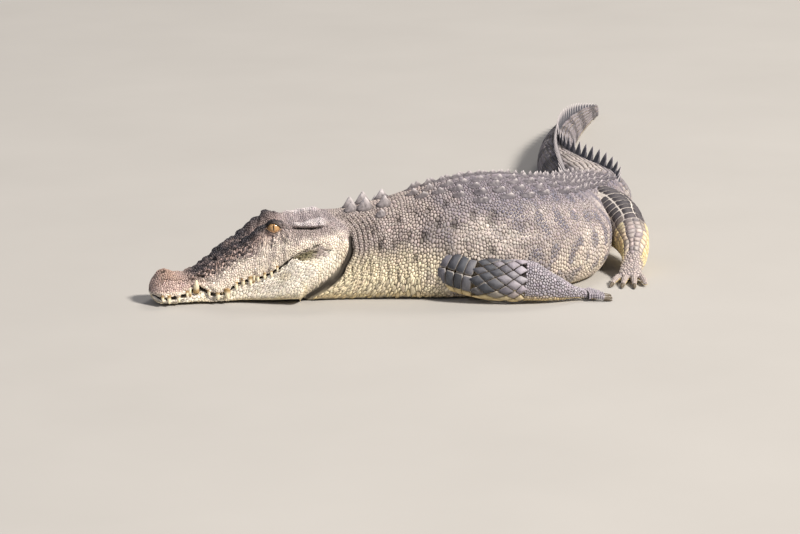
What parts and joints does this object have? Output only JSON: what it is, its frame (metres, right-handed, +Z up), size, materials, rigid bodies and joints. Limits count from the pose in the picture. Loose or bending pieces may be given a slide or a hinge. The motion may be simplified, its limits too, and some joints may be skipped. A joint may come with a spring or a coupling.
{
  "type": "saltwater crocodile model",
  "caption": "Life-size saltwater crocodile basking on its belly: long toothed snout, mouth shut and eyes open, body curved round, legs laid beside it, and a crested tail.",
  "frame": {"origin": "the middle of the animal's bounding box, on the ground it lies on", "axes": "+Z is up. -X and -Y are towards the snout, +Y towards the tip of the tail. The left side faces -Y at the shoulders and +X at the hips."},
  "size_m": [1.702, 3.2568, 0.3816],
  "materials": {
    "hide": "dry scaly hide, grey with paler scutes",
    "pale_hide": "dry scaly hide, cream",
    "claw_horn": "worn dark horn",
    "eye": "wet amber eye with an upright pupil"
  },
  "bodies": {
    "root": {"belly": "hide", "chest": "hide", "cranium": "hide", "left_eye": "eye", "left_foot": "hide", "left_foot_claw_1": "claw_horn", "left_foot_claw_2": "claw_horn", "left_foot_claw_3": "claw_horn", "left_forearm": "hide", "left_hand": "hide", "left_hand_claw_1": "claw_horn", "left_hand_claw_2": "claw_horn", "left_hand_claw_3": "claw_horn", "left_shank": "hide", "left_thigh": "hide", "left_upper_arm": "hide", "lower_jaw": "pale_hide", "neck": "hide", "pelvis": "hide", "right_eye": "eye", "right_foot": "hide", "right_foot_claw_2": "claw_horn", "right_foot_claw_3": "claw_horn", "right_foot_claw_4": "claw_horn", "right_forearm": "hide", "right_hand": "hide", "right_hand_claw_3": "claw_horn", "right_hand_claw_4": "claw_horn", "right_hand_claw_5": "claw_horn", "right_shank": "hide", "right_thigh": "hide", "right_upper_arm": "hide", "tail_first": "hide", "tail_middle": "hide", "tail_root": "hide", "tail_tip": "hide"}
  },
  "joints": []
}
